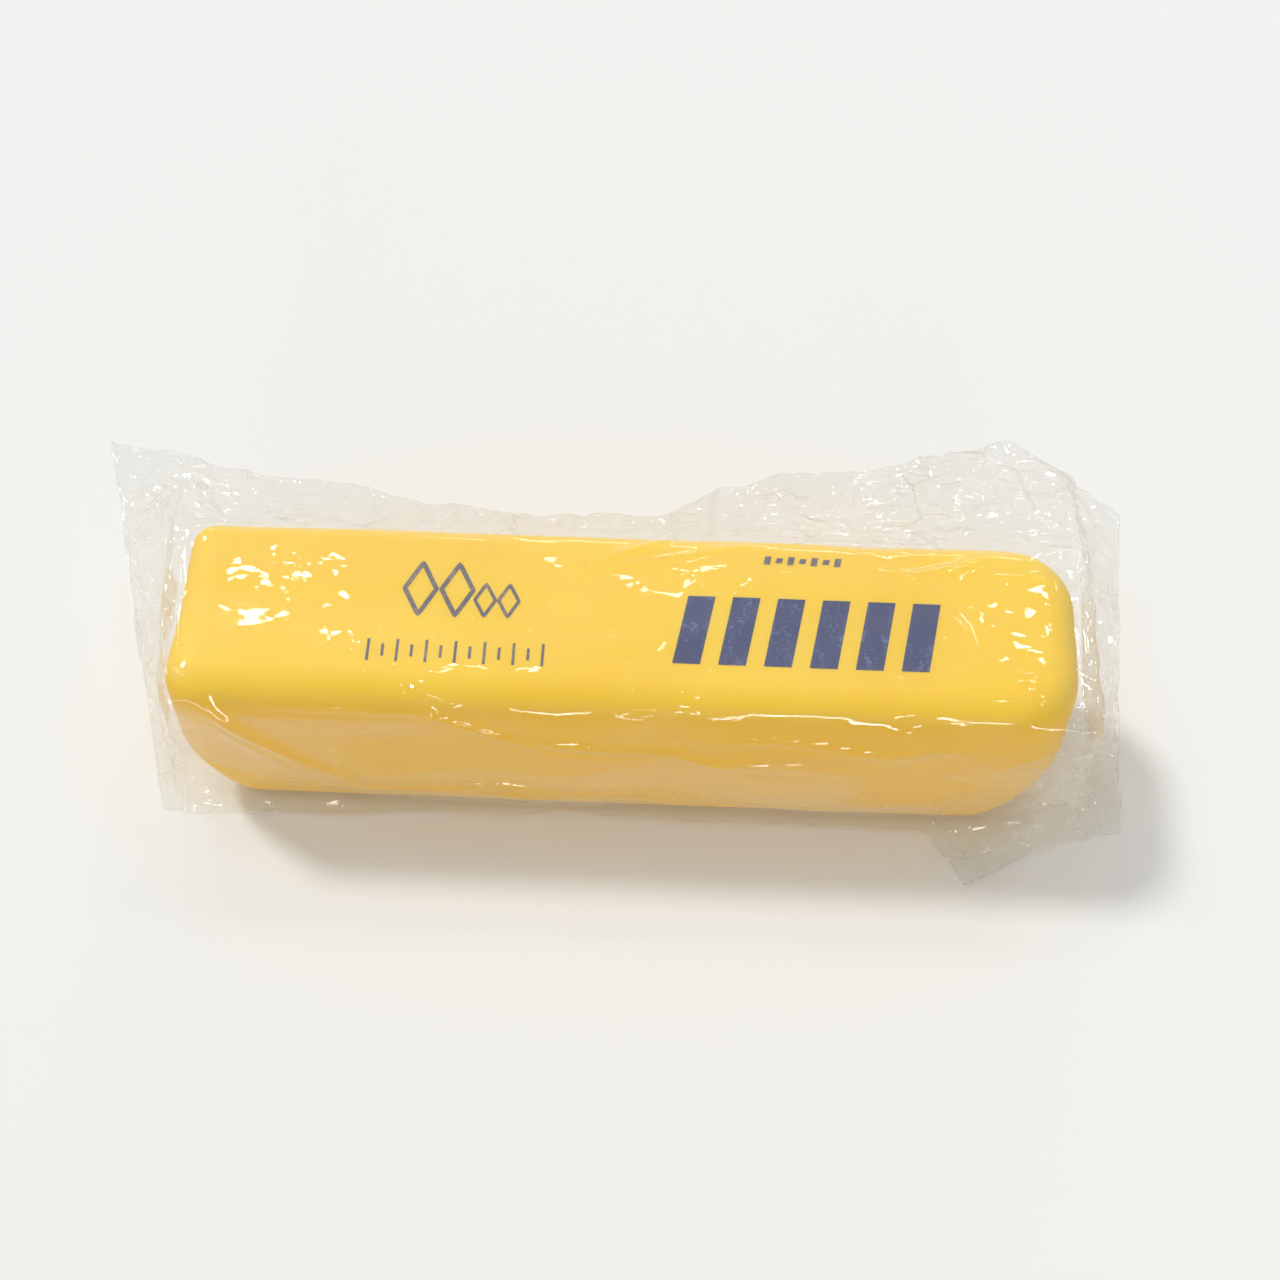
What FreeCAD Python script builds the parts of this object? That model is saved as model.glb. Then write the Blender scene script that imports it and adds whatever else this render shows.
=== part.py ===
"""A long block of butter inside a loose clear film bag.

Frame: X runs along the block, Y from its front to its back, Z up.  The origin
is on the floor, below the middle of the block, and the printed face is up.
"""
import FreeCAD, Part
import os
import Sketcher

ORIGIN_POINT = (-1, 1)

# alias, millimetres or degrees, what it is
SIZES = [
    ("block_length", 176.0, "butter, end to end"),
    ("block_width", 42.0, "butter, front to back"),
    ("block_height", 42.0, "butter, base to printed top"),
    ("left_corner_radius", 8.0, "upright edges of the left end"),
    ("right_corner_radius", 12.0, "upright edges of the right end"),
    ("top_edge_radius", 6.0, "rim of the printed top"),
    ("base_edge_radius", 4.5, "rim of the base"),
    ("film_under", 0.5, "film and trapped air under the butter"),
    ("film_gap", 0.7, "film and air over the top and round the faces"),
    ("film_turn", 3.0, "width of the band where the film turns over a rim"),
    ("hem_height", 1.2, "height of the flattened front fold"),
    ("knee_height", 6.0, "where the film leaves the front face"),
    ("seal_thickness", 1.6, "crimped end seams"),
    ("seal_slant", 15.3, "turn of the left seam seen from above"),
    ("left_seal_gap", 12.6, "left seam beyond the end of the butter"),
    ("right_seal_gap", 14.6, "right seam beyond the end of the butter"),
    ("seal_lift", 9.0, "height of a seam where it passes the back face"),
    ("left_body_inset", 28.0, "first full section in from the left end"),
    ("waist_left", 22.0, "left edge of the snug middle, from the centre"),
    ("waist_right", 6.0, "right edge of the snug middle, from the centre"),
    ("waist_drop", 7.0, "film edge of the snug middle, below its top"),
    ("hump_rise", 12.0, "length in which the back hump opens out"),
    ("flap_start_inset", 26.0, "left edge of the front flap, from the right end"),
    ("flap_inset", 18.0, "tip of the front flap, from the right end"),
    ("ear_inset", 8.0, "tip of the back ear, from the right end"),
]

# station along the bag: reach in front of the butter, reach behind it, ridge height
STATIONS = {
    "left_seal": (3.9, 41.0, 12.0),
    "left_end": (4.0, 33.0, 14.0),
    "left_body": (3.0, 24.5, 20.0),
    "waist_left": (2.5, 7.0, None),
    "waist_right": (2.5, 7.0, None),
    "hump": (2.5, 21.0, 28.0),
    "flap_start": (2.5, 33.0, 26.0),
    "flap": (14.6, 35.5, 26.0),
    "ear": (8.0, 38.0, 26.0),
    "right_end": (3.5, 33.0, 24.0),
    "right_seal": (0.8, 25.0, 18.0),
}

PLACES = {
    "left_seal": "-Sizes.block_length / 2 - Sizes.left_seal_gap",
    "left_end": "-Sizes.block_length / 2 - Sizes.film_gap",
    "left_body": "-Sizes.block_length / 2 + Sizes.left_body_inset",
    "waist_left": "-Sizes.waist_left",
    "waist_right": "Sizes.waist_right",
    "hump": "Sizes.waist_right + Sizes.hump_rise",
    "flap_start": "Sizes.block_length / 2 - Sizes.flap_start_inset",
    "flap": "Sizes.block_length / 2 - Sizes.flap_inset",
    "ear": "Sizes.block_length / 2 - Sizes.ear_inset",
    "right_end": "Sizes.block_length / 2 + Sizes.film_gap",
    "right_seal": "Sizes.block_length / 2 + Sizes.right_seal_gap",
}

FLOOR_CUT = 5.0


def fill_sheet(doc):
    """Put every driving size in the sheet, one row each, with its alias."""
    sheet = doc.addObject("Spreadsheet::Sheet", "Sizes")
    rows = list(SIZES)
    for station, (front, back, ridge) in STATIONS.items():
        rows.append((station + "_front", front, "bag in front of the butter's face"))
        rows.append((station + "_back", back, "bag behind the butter's face"))
        if ridge is not None:
            rows.append((station + "_ridge", ridge, "height of the back fold"))
    for row, (alias, value, note) in enumerate(rows, start=1):
        sheet.set("A%d" % row, note)
        sheet.set("B%d" % row, str(value))
        sheet.setAlias("B%d" % row, alias)
    doc.recompute()
    return sheet


def origin_plane(body, role):
    """The body's own base plane of that role."""
    return next(item for item in body.Origin.OriginFeatures if item.Role == role)


def new_sketch(body, name, role):
    """An empty sketch on one of the body's base planes."""
    sketch = body.newObject("Sketcher::SketchObject", name)
    sketch.AttachmentSupport = (origin_plane(body, role), [""])
    sketch.MapMode = "FlatFace"
    return sketch


def closed_outline(sketch, corners):
    """Join the corners with straight lines and tie each corner to two expressions."""
    count = len(corners)
    rough = [FreeCAD.Vector(x_guess, y_guess, 0) for x_guess, y_guess, _, _ in corners]
    for index in range(count):
        sketch.addGeometry(Part.LineSegment(rough[index], rough[(index + 1) % count]), False)
    for index in range(count):
        following = (index + 1) % count
        sketch.addConstraint(Sketcher.Constraint("Coincident", index, 2, following, 1))
    for index, (x_guess, y_guess, across, up) in enumerate(corners):
        for kind, guess, expression in (("DistanceX", x_guess, across), ("DistanceY", y_guess, up)):
            number = sketch.addConstraint(
                Sketcher.Constraint(kind, *ORIGIN_POINT, index, 1, guess))
            label = "%s_%d" % ("across" if kind == "DistanceX" else "up", index)
            sketch.renameConstraint(number, label)
            sketch.setExpression("Constraints." + label, expression)


def edges_where(shape, test):
    """Names of the edges whose middle point and direction pass the test."""
    names = []
    for number, edge in enumerate(shape.Edges, start=1):
        middle = edge.valueAt((edge.FirstParameter + edge.LastParameter) / 2)
        direction = edge.tangentAt((edge.FirstParameter + edge.LastParameter) / 2)
        if test(middle, direction):
            names.append("Edge%d" % number)
    return names


def round_edges(doc, body, base, name, radius, test):
    """Fillet the edges of a feature that pass the test."""
    fillet = body.newObject("PartDesign::Fillet", name)
    fillet.Base = (base, edges_where(base.Shape, test))
    fillet.setExpression("Radius", "Sizes." + radius)
    body.Tip = fillet
    doc.recompute()
    return fillet


def make_butter_block(doc):
    """A moulded block: a padded rectangle, its upright edges and both rims rounded."""
    body = doc.addObject("PartDesign::Body", "ButterBlock")
    body.Label = "butter_block"
    sketch = new_sketch(body, "BlockOutline", "XY_Plane")
    sketch.setExpression("AttachmentOffset.Base.z", "Sizes.film_under")
    half_x = "Sizes.block_length / 2"
    half_y = "Sizes.block_width / 2"
    closed_outline(sketch, [
        (-80, -20, "-" + half_x, "-" + half_y),
        (80, -20, half_x, "-" + half_y),
        (80, 20, half_x, half_y),
        (-80, 20, "-" + half_x, half_y),
    ])
    pad = body.newObject("PartDesign::Pad", "BlockPad")
    pad.Profile = sketch
    pad.setExpression("Length", "Sizes.block_height")
    doc.recompute()
    base_z = doc.Sizes.film_under
    top_z = base_z + doc.Sizes.block_height
    left = round_edges(doc, body, pad, "LeftCorners", "left_corner_radius",
                       lambda at, way: abs(way.z) > 0.9 and at.x < 0)
    right = round_edges(doc, body, left, "RightCorners", "right_corner_radius",
                        lambda at, way: abs(way.z) > 0.9 and at.x > 0)
    top = round_edges(doc, body, right, "TopRim", "top_edge_radius",
                      lambda at, way: abs(at.z - top_z) < 1e-3)
    round_edges(doc, body, top, "BaseRim", "base_edge_radius",
                lambda at, way: abs(at.z - base_z) < 1e-3)
    return body


def seam_corners(half, front, back, shoulder, ridge):
    """Eight corners of a flat seam that climbs from the floor in front to the back fold."""
    slope = "Sizes.seal_lift / (%s - (%s))" % (half, front)

    def upper(across):
        return "Sizes.seal_thickness + %s * (%s - (%s))" % (slope, across, front)

    quarter = "-(%s) / 2" % half
    return [(-24, 0, front, "0"),
            (21, 9, half, "Sizes.seal_lift"),
            (50, 12, back, ridge),
            (18, 10, shoulder, upper(shoulder)),
            (0, 6, "0", upper("0")),
            (-10, 4, quarter, upper(quarter)),
            (-18, 3, "-(%s)" % shoulder, upper("-(%s)" % shoulder)),
            (-24, 1, front, "Sizes.hem_height")]


def section_corners(station):
    """Eight corners of the bag's cross-section: floor, back fold, top, front face, hem."""
    half = "Sizes.block_width / 2"
    front = "-(%s + Sizes.%s_front)" % (half, station)
    back = "%s + Sizes.%s_back" % (half, station)
    shoulder = "%s - Sizes.film_turn" % half
    face = "%s + Sizes.film_gap" % half
    top = "Sizes.film_under + Sizes.block_height + Sizes.film_gap"
    ridge = "Sizes.%s_ridge" % station
    if STATIONS[station][2] is None:
        ridge = "%s - Sizes.waist_drop" % top
    if station.endswith("_seal"):
        return seam_corners(half, front, back, shoulder, ridge)
    return [(-24, -2, front, "-Sizes.hem_height"),
            (21, -2, half, "-Sizes.hem_height"),
            (45, 20, back, ridge),
            (18, 42, shoulder, top),
            (-18, 42, "-(%s)" % shoulder, top),
            (-21, 40, "-(%s)" % face, "%s - Sizes.film_turn" % top),
            (-22, 6, "-(%s + Sizes.film_gap)" % face, "Sizes.knee_height"),
            (-24, 1, front, "Sizes.hem_height")]


def make_bag_hull(doc):
    """The bag's outer form, lofted from seam to seam through its stations."""
    body = doc.addObject("PartDesign::Body", "BagHull")
    body.Label = "bag_hull"
    sketches = []
    for station, place in PLACES.items():
        name = "".join(word.capitalize() for word in station.split("_")) + "Section"
        sketch = new_sketch(body, name, "YZ_Plane")
        if station == "left_seal":
            turn = FreeCAD.Rotation(FreeCAD.Vector(0, 1, 0), doc.Sizes.seal_slant)
            sketch.AttachmentOffset = FreeCAD.Placement(FreeCAD.Vector(0, 0, 0), turn)
        sketch.setExpression("AttachmentOffset.Base.z", place)
        closed_outline(sketch, section_corners(station))
        sketches.append(sketch)
    doc.recompute()
    loft = body.newObject("PartDesign::AdditiveLoft", "BagLoft")
    loft.Profile = sketches[0]
    loft.Sections = [(sketch, [""]) for sketch in sketches[1:]]
    loft.Ruled = True
    body.Tip = loft
    doc.recompute()
    return body


def make_film_bag(doc, hull, block):
    """The hull, cut level where it rests and hollowed to take the butter."""
    floor = doc.addObject("Part::Box", "FloorCut")
    for side in ("Length", "Width"):
        floor.setExpression(side, "2 * Sizes.block_length")
    floor.Height = FLOOR_CUT
    floor.Placement = FreeCAD.Placement(
        FreeCAD.Vector(-doc.Sizes.block_length, -doc.Sizes.block_length, -FLOOR_CUT),
        FreeCAD.Rotation())
    level = doc.addObject("Part::Cut", "LevelBag")
    level.Base = hull
    level.Tool = floor
    bag = doc.addObject("Part::Cut", "FilmBag")
    bag.Base = level
    bag.Tool = block
    bag.Label = "film_bag"
    doc.recompute()
    return bag


def check(doc, parts):
    """Stop at any failed object and at any sub-part that isn't one valid solid."""
    for item in doc.Objects:
        if "Invalid" in item.State or "Error" in item.State:
            raise RuntimeError("%s failed: %s" % (item.Name, item.State))
    for part in parts:
        shape = part.Shape
        if shape.isNull() or not shape.isValid() or len(shape.Solids) != 1:
            raise RuntimeError("%s is not one valid solid" % part.Label)


def main():
    doc = FreeCAD.newDocument("ButterBlockInFilm")
    fill_sheet(doc)
    block = make_butter_block(doc)
    hull = make_bag_hull(doc)
    bag = make_film_bag(doc, hull, block)
    doc.recompute()
    parts = [block, bag]
    check(doc, parts)
    os.makedirs("parts", exist_ok=True)
    for part in parts:
        part.Shape.exportStep("parts/%s.step" % part.Label)
        box = part.Shape.optimalBoundingBox(False)
        print("%-14s volume %9.0f mm3  x %.1f..%.1f  y %.1f..%.1f  z %.1f..%.1f" % (
            part.Label, part.Shape.Volume, box.XMin, box.XMax, box.YMin, box.YMax,
            box.ZMin, box.ZMax))


main()
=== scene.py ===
import math
import bmesh
import bpy
import numpy as np
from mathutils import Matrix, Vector, noise
from mathutils.bvhtree import BVHTree
from mathutils.geometry import delaunay_2d_cdt


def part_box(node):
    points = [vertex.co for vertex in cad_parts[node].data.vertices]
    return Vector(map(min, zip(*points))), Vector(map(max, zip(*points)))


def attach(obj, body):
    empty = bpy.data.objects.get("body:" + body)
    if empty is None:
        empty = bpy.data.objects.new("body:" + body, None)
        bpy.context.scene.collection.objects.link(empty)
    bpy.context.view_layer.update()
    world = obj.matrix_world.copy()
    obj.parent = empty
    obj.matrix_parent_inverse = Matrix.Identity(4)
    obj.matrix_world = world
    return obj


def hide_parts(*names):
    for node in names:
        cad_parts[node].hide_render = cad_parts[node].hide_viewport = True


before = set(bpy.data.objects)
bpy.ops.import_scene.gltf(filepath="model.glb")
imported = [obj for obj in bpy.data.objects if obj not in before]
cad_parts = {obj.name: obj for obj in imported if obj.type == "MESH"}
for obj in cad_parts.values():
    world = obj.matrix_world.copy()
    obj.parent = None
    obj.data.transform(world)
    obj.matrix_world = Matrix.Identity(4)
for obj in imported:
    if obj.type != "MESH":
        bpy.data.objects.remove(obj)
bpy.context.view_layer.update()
MM = 0.001

# ---------------------------------------------------------------- the butter
# A long block cast in a mould: soft rims, the right end rounder than the left.
# Its faces bow a little, its skin is waxy and faintly mottled, and its sides carry
# painted shade: a deeper orange than its top.
LEFT_CORNER = 8.0 * MM
BACK_LEFT_CORNER = 5.0 * MM
RIGHT_CORNER = 13.0 * MM
SHARPEST_CORNER = 0.3 * MM
CORNER_POINTS = 9
TOP_RIM = 6.5 * MM
BASE_RIM, BASE_RISE = 4.8 * MM, 5.6 * MM
END_TUCK = 2.0 * BASE_RIM
TUCK_RISE = 2 * END_TUCK
LEFT_SLANT = 0.055
ALONG, ACROSS = 88, 22
BASE_RINGS, SIDE_RINGS, TOP_RINGS = 10, 14, 8
BOW = 0.35 * MM
MOTTLE_DEPTH = 0.22 * MM
MOTTLE_SIZE = 24.0 * MM
LOW_MOTTLE = 0.5

butter_low, butter_high = [np.array(corner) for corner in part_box("butter_block")]
butter_mid = (butter_low + butter_high) / 2
HALF_X, HALF_Y = (butter_high - butter_low)[:2] / 2


def resample(points, count):
    """That many points, evenly spaced along an open line."""
    points = np.asarray(points)
    steps = np.linalg.norm(np.diff(points, axis=0), axis=1)
    travelled = np.concatenate([[0.0], np.cumsum(steps)])
    wanted = np.linspace(0.0, travelled[-1], count)
    return np.stack([np.interp(wanted, travelled, points[:, axis])
                     for axis in range(points.shape[1])], axis=1)


def corner_arc(centre, radius, start, end):
    """Points on a rounded corner, from one angle to another in degrees."""
    angles = np.radians(np.linspace(start, end, CORNER_POINTS))
    return [(centre[0] + radius * math.cos(a), centre[1] + radius * math.sin(a)) for a in angles]


def plan_sides(inset, end_inset):
    """The block's outline seen from above, inset, as four lines that meet mid-corner."""
    half_x, half_y = HALF_X - end_inset, HALF_Y - inset
    left, right = LEFT_CORNER - inset, RIGHT_CORNER - inset
    back_left = max(SHARPEST_CORNER, BACK_LEFT_CORNER - inset)
    left_x, right_x = left - half_x, half_x - right
    front = (corner_arc((left_x, left - half_y), left, 225, 270)
             + corner_arc((right_x, right - half_y), right, 270, 315))
    right_side = (corner_arc((right_x, right - half_y), right, 315, 360)
                  + corner_arc((right_x, half_y - right), right, 0, 45))
    back = (corner_arc((back_left - half_x, half_y - back_left), back_left, 135, 90)
            + corner_arc((right_x, half_y - right), right, 90, 45))
    left_side = (corner_arc((left_x, left - half_y), left, 225, 180)
                 + corner_arc((back_left - half_x, half_y - back_left), back_left, 180, 135))
    return (resample(front, ALONG + 1), resample(right_side, ACROSS + 1),
            resample(back, ALONG + 1), resample(left_side, ACROSS + 1))


def flat_patch(sides):
    """Grid of points that fills an outline of four lines."""
    front, right, back, left = sides
    u = np.linspace(0, 1, ALONG + 1)[:, None, None]
    v = np.linspace(0, 1, ACROSS + 1)[None, :, None]
    edges = ((1 - v) * front[:, None] + v * back[:, None]
             + (1 - u) * left[None, :] + u * right[None, :])
    corners = ((1 - u) * (1 - v) * front[0] + u * (1 - v) * front[-1]
               + (1 - u) * v * back[0] + u * v * back[-1])
    return edges - corners


def grid_faces(rows, columns, first=0):
    """Quads over a grid of points that was laid out row by row."""
    return [(first + row * columns + column, first + (row + 1) * columns + column,
             first + (row + 1) * columns + column + 1, first + row * columns + column + 1)
            for row in range(rows - 1) for column in range(columns - 1)]


def mesh_object(name, points, faces):
    mesh = bpy.data.meshes.new(name)
    mesh.from_pydata([tuple(point) for point in points], [], faces)
    mesh.shade_smooth()
    thing = bpy.data.objects.new(name, mesh)
    bpy.context.scene.collection.objects.link(thing)
    return thing


def close_up(thing, reach):
    """Merge doubled points and turn every face outwards."""
    shell = bmesh.new()
    shell.from_mesh(thing.data)
    bmesh.ops.remove_doubles(shell, verts=shell.verts, dist=reach)
    bmesh.ops.recalc_face_normals(shell, faces=shell.faces)
    shell.to_mesh(thing.data)
    shell.free()
    thing.data.shade_smooth()


def block_profile():
    """Side inset, end inset and height of each ring, from the base up to the top."""
    base, top = butter_low[2], butter_high[2]
    rings = [(BASE_RIM * (1 - math.sin(a)), base + BASE_RISE * (1 - math.cos(a)))
             for a in np.linspace(0, math.pi / 2, BASE_RINGS)]
    sides = np.linspace(base + BASE_RISE, top - TOP_RIM, SIDE_RINGS)
    rings += [(0.0, height) for height in sides[1:-1]]
    rings += [(TOP_RIM * (1 - math.cos(a)), top - TOP_RIM * (1 - math.sin(a)))
              for a in np.linspace(0, math.pi / 2, TOP_RINGS)]
    tuck_top = base + TUCK_RISE
    tucks = [END_TUCK * max(0.0, (tuck_top - height) / (tuck_top - base)) ** 2
             for _, height in rings]
    return [(inset, max(inset, tuck), height) for (inset, height), tuck in zip(rings, tucks)]


def build_block():
    """The block's side rings and its two flat patches, as one mesh."""
    points, faces = [], []
    rings = block_profile()
    loops = []
    for inset, end_inset, height in rings:
        front, right, back, left = plan_sides(inset, end_inset)
        loop = np.concatenate([front[:-1], right[:-1], back[:0:-1], left[::-1]])
        loops.append(np.column_stack([loop, np.full(len(loop), height)]))
    faces += grid_faces(len(loops), len(loops[0]))
    points += [point for loop in loops for point in loop]
    for inset, end_inset, height in (rings[0], rings[-1]):
        patch = flat_patch(plan_sides(inset, end_inset)).reshape(-1, 2)
        faces += grid_faces(ALONG + 1, ACROSS + 1, len(points))
        points += [(x, y, height) for x, y in patch]
    return mesh_object("butter", points, faces)


def bow_faces(thing):
    """Bow the faces outwards, slant the left end and give the skin its slow unevenness."""
    for vertex in thing.data.vertices:
        place = np.array(vertex.co)
        away = (place - butter_mid) / (butter_high - butter_low) * 2
        swell = BOW * (1 - away[0] ** 2) * (1 - abs(away[2]) ** 3)
        vertex.co.y += swell * away[1]
        vertex.co.x += LEFT_SLANT * min(0.0, vertex.co.y) * max(0.0, -away[0]) ** 4
        lift = noise.noise(Vector(place / MOTTLE_SIZE)) * MOTTLE_DEPTH
        vertex.co += vertex.normal * lift * (1.0 if place[2] > butter_mid[2] else LOW_MOTTLE)


butter = build_block()
close_up(butter, 0.01 * MM)
bow_faces(butter)
smoother = butter.modifiers.new("Smooth skin", "SUBSURF")
smoother.levels = smoother.render_levels = 1


def node_adder(tree):
    """A short way to add a node, set it up and join its inputs; _3 is the input number 3."""
    def add(kind, settings=None, **inputs):
        node = tree.nodes.new(kind)
        for key, value in (settings or {}).items():
            setattr(node, key, value)
        for key, value in inputs.items():
            which = int(key[1:]) if key[1:].isdigit() else key.replace("_", " ")
            if isinstance(value, bpy.types.NodeSocket):
                tree.links.new(value, node.inputs[which])
            else:
                node.inputs[which].default_value = value
        return node
    return add


def new_material(name):
    material = bpy.data.materials.new(name)
    material.use_nodes = True
    material.node_tree.nodes.clear()
    return material, node_adder(material.node_tree)


def butter_material():
    material, add = new_material("butter")
    place = add("ShaderNodeTexCoord").outputs["Object"]
    cloud = add("ShaderNodeTexNoise", Vector=place, Scale=26.0, Detail=4.0, Roughness=0.55)
    tone = add("ShaderNodeValToRGB", Fac=cloud.outputs["Fac"])
    tone.color_ramp.elements[0].position = 0.3
    tone.color_ramp.elements[0].color = (0.955, 0.605, 0.028, 1)
    tone.color_ramp.elements[1].position = 0.7
    tone.color_ramp.elements[1].color = (0.975, 0.665, 0.048, 1)
    # painted shade: below the top rim the skin turns a deeper orange, standing in for the shade on
    # the sides
    height = add("ShaderNodeSeparateXYZ", Vector=place).outputs["Z"]
    painted_side_shade = add("ShaderNodeMapRange", {"interpolation_type": "SMOOTHSTEP"}, Value=height,
                From_Min=36.0 * MM, From_Max=42.0 * MM)
    shade = add("ShaderNodeMix", {"data_type": "RGBA"}, _0=painted_side_shade.outputs["Result"],
                _6=(0.93, 0.535, 0.014, 1), _7=tone.outputs["Color"])
    pores = add("ShaderNodeTexNoise", Vector=place, Scale=900.0, Detail=3.0)
    dents = add("ShaderNodeTexNoise", Vector=place, Scale=120.0, Detail=2.0)
    blend = add("ShaderNodeMix", {"data_type": "FLOAT"}, _0=0.25,
                _2=dents.outputs["Fac"], _3=pores.outputs["Fac"])
    relief = add("ShaderNodeBump", Strength=0.12, Distance=0.2 * MM,
                 Height=blend.outputs[0])
    shine = add("ShaderNodeMapRange", Value=cloud.outputs["Fac"], To_Min=0.38, To_Max=0.52)
    skin = add("ShaderNodeBsdfPrincipled", Base_Color=shade.outputs[2],
               Roughness=shine.outputs["Result"], Normal=relief.outputs["Normal"])
    skin.inputs["Subsurface Weight"].default_value = 0.18
    skin.inputs["Subsurface Radius"].default_value = (1.0, 0.6, 0.12)
    skin.inputs["Subsurface Scale"].default_value = 2.5 * MM
    skin.inputs["IOR"].default_value = 1.45
    skin.inputs["Specular IOR Level"].default_value = 0.25
    add("ShaderNodeOutputMaterial", Surface=skin.outputs["BSDF"])
    return material


butter.data.materials.append(butter_material())
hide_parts("butter_block")
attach(butter, "root")

# ---------------------------------------------------------------- the print
# One pass of navy ink straight on the butter: six bold slanted bars at the
# right, fine dashes over them, open lozenges and a row of ticks at the left.
INK_LIFT = 0.05 * MM


def row_tree(name, sizes):
    """An empty Geometry Nodes tree with a named input for each size and for the ink."""
    tree = bpy.data.node_groups.new(name, "GeometryNodeTree")
    tree.interface.new_socket("Geometry", in_out="INPUT", socket_type="NodeSocketGeometry")
    tree.interface.new_socket("Geometry", in_out="OUTPUT", socket_type="NodeSocketGeometry")
    keys = {}
    for size in sizes:
        kind = "NodeSocketInt" if size == "Count" else "NodeSocketFloat"
        keys[size] = tree.interface.new_socket(size, in_out="INPUT", socket_type=kind).identifier
    keys["Ink"] = tree.interface.new_socket(
        "Ink", in_out="INPUT", socket_type="NodeSocketMaterial").identifier
    add = node_adder(tree)
    return tree, keys, add, add("NodeGroupInput").outputs


def finish_row(add, given, points, shape, scale=None):
    """Repeat a shape on the points, as real faces in the ink."""
    row = add("GeometryNodeInstanceOnPoints", Points=points, Instance=shape)
    if scale is not None:
        add_link = row.id_data.links.new
        add_link(scale, row.inputs["Scale"])
    real = add("GeometryNodeRealizeInstances", Geometry=row.outputs["Instances"])
    inked = add("GeometryNodeSetMaterial", Geometry=real.outputs["Geometry"], Material=given["Ink"])
    add("NodeGroupOutput", Geometry=inked.outputs["Geometry"])


def bar_row_tree():
    """A row of slanted bars, every second one as much shorter as asked."""
    tree, keys, add, given = row_tree(
        "Bar row", ["Count", "Pitch", "Width", "Height", "Slant", "Shorter"])
    step = add("ShaderNodeCombineXYZ", X=given["Pitch"])
    line = add("GeometryNodeMeshLine", Count=given["Count"], Offset=step.outputs[0])
    bar = add("GeometryNodeMeshGrid", Size_X=given["Width"], Size_Y=given["Height"],
              Vertices_X=6, Vertices_Y=14)
    where = add("ShaderNodeSeparateXYZ", Vector=add("GeometryNodeInputPosition").outputs[0])
    lean = add("ShaderNodeMath", {"operation": "MULTIPLY"}, _0=where.outputs["Y"], _1=given["Slant"])
    shift = add("ShaderNodeCombineXYZ", X=lean.outputs[0])
    slanted = add("GeometryNodeSetPosition", Geometry=bar.outputs["Mesh"], Offset=shift.outputs[0])
    odd = add("ShaderNodeMath", {"operation": "MODULO"},
              _0=add("GeometryNodeInputIndex").outputs[0], _1=2.0)
    size = add("ShaderNodeMapRange", Value=odd.outputs[0], To_Min=1.0, To_Max=given["Shorter"])
    scale = add("ShaderNodeCombineXYZ", X=1.0, Y=size.outputs["Result"], Z=1.0)
    finish_row(add, given, line.outputs["Mesh"], slanted.outputs["Geometry"], scale.outputs[0])
    return tree, keys


def lozenge_row_tree():
    """A row of open lozenges, drawn with a thin flat line."""
    tree, keys, add, given = row_tree(
        "Lozenge row", ["Count", "Pitch", "Width", "Height", "Line"])
    step = add("ShaderNodeCombineXYZ", X=given["Pitch"])
    line = add("GeometryNodeMeshLine", Count=given["Count"], Offset=step.outputs[0])
    outline = add("GeometryNodeCurvePrimitiveCircle", Resolution=4, Radius=0.5)
    stretch = add("ShaderNodeCombineXYZ", X=given["Width"], Y=given["Height"], Z=1.0)
    lozenge = add("GeometryNodeTransform", Geometry=outline.outputs["Curve"],
                  Scale=stretch.outputs[0])
    finer = add("GeometryNodeResampleCurve", Curve=lozenge.outputs["Geometry"], Count=48)
    half_line = add("ShaderNodeMath", {"operation": "MULTIPLY"}, _0=given["Line"], _1=0.5)
    pen_start = add("ShaderNodeCombineXYZ", X=half_line.outputs[0])
    pen_end = add("ShaderNodeVectorMath", {"operation": "SCALE"}, _0=pen_start.outputs[0],
                  Scale=-1.0)
    pen = add("GeometryNodeCurvePrimitiveLine", Start=pen_start.outputs[0],
              End=pen_end.outputs[0])
    drawn = add("GeometryNodeCurveToMesh", Curve=finer.outputs["Curve"],
                Profile_Curve=pen.outputs["Curve"])
    finish_row(add, given, line.outputs["Mesh"], drawn.outputs["Mesh"])
    return tree, keys


def ink_material(name, dark, fleck, thin):
    """Navy ink with pale flecks where the waxy skin refused it."""
    material, add = new_material(name)
    place = add("ShaderNodeTexCoord").outputs["Object"]
    grain = add("ShaderNodeTexNoise", Vector=place, Scale=1500.0, Detail=3.0, Roughness=0.7)
    stroke = add("ShaderNodeMapping", Vector=place, Scale=(1.0, 0.35, 1.0))
    streak = add("ShaderNodeTexNoise", Vector=stroke.outputs[0], Scale=420.0, Detail=4.0)
    both = add("ShaderNodeMath", {"operation": "MULTIPLY"},
               _0=grain.outputs["Fac"], _1=streak.outputs["Fac"])
    tone = add("ShaderNodeValToRGB", Fac=both.outputs[0])
    tone.color_ramp.elements[0].position = thin
    tone.color_ramp.elements[0].color = (*dark, 1)
    tone.color_ramp.elements[1].position = thin + 0.14
    tone.color_ramp.elements[1].color = (*fleck, 1)
    relief = add("ShaderNodeBump", Strength=0.25, Distance=0.05 * MM, Height=both.outputs[0])
    ink = add("ShaderNodeBsdfPrincipled", Base_Color=tone.outputs["Color"], Roughness=0.5,
              Normal=relief.outputs["Normal"])
    add("ShaderNodeOutputMaterial", Surface=ink.outputs["BSDF"])
    return material


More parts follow.
